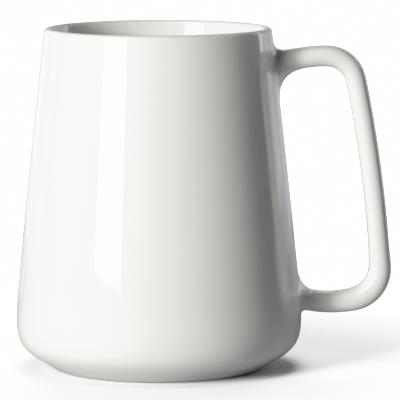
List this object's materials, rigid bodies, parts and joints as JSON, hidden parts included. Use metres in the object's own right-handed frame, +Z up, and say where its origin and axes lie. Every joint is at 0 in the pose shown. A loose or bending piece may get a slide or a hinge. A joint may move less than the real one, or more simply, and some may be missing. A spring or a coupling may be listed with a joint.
{
  "type": "ceramic mug",
  "caption": "Large glazed stoneware mug: wall leaning in from a rounded base corner to a thin round lip, squared strap handle on one side.",
  "frame": {"origin": "middle of the footprint on the table, handle included; the mug's own axis stands 16.8 mm from it towards -X", "axes": "+Z up, +X from the body towards the handle, +Y completes the right-handed set; the mug is symmetric across its XZ plane"},
  "size_m": [0.1402, 0.1066, 0.127],
  "materials": {
    "body_glaze": "polished",
    "handle_glaze": "polished",
    "join_glaze": "polished"
  },
  "bodies": {
    "root": {"mug_body": "body_glaze", "handle": "handle_glaze", "upper_slip_fillet": "join_glaze", "lower_slip_fillet": "join_glaze"}
  },
  "joints": []
}
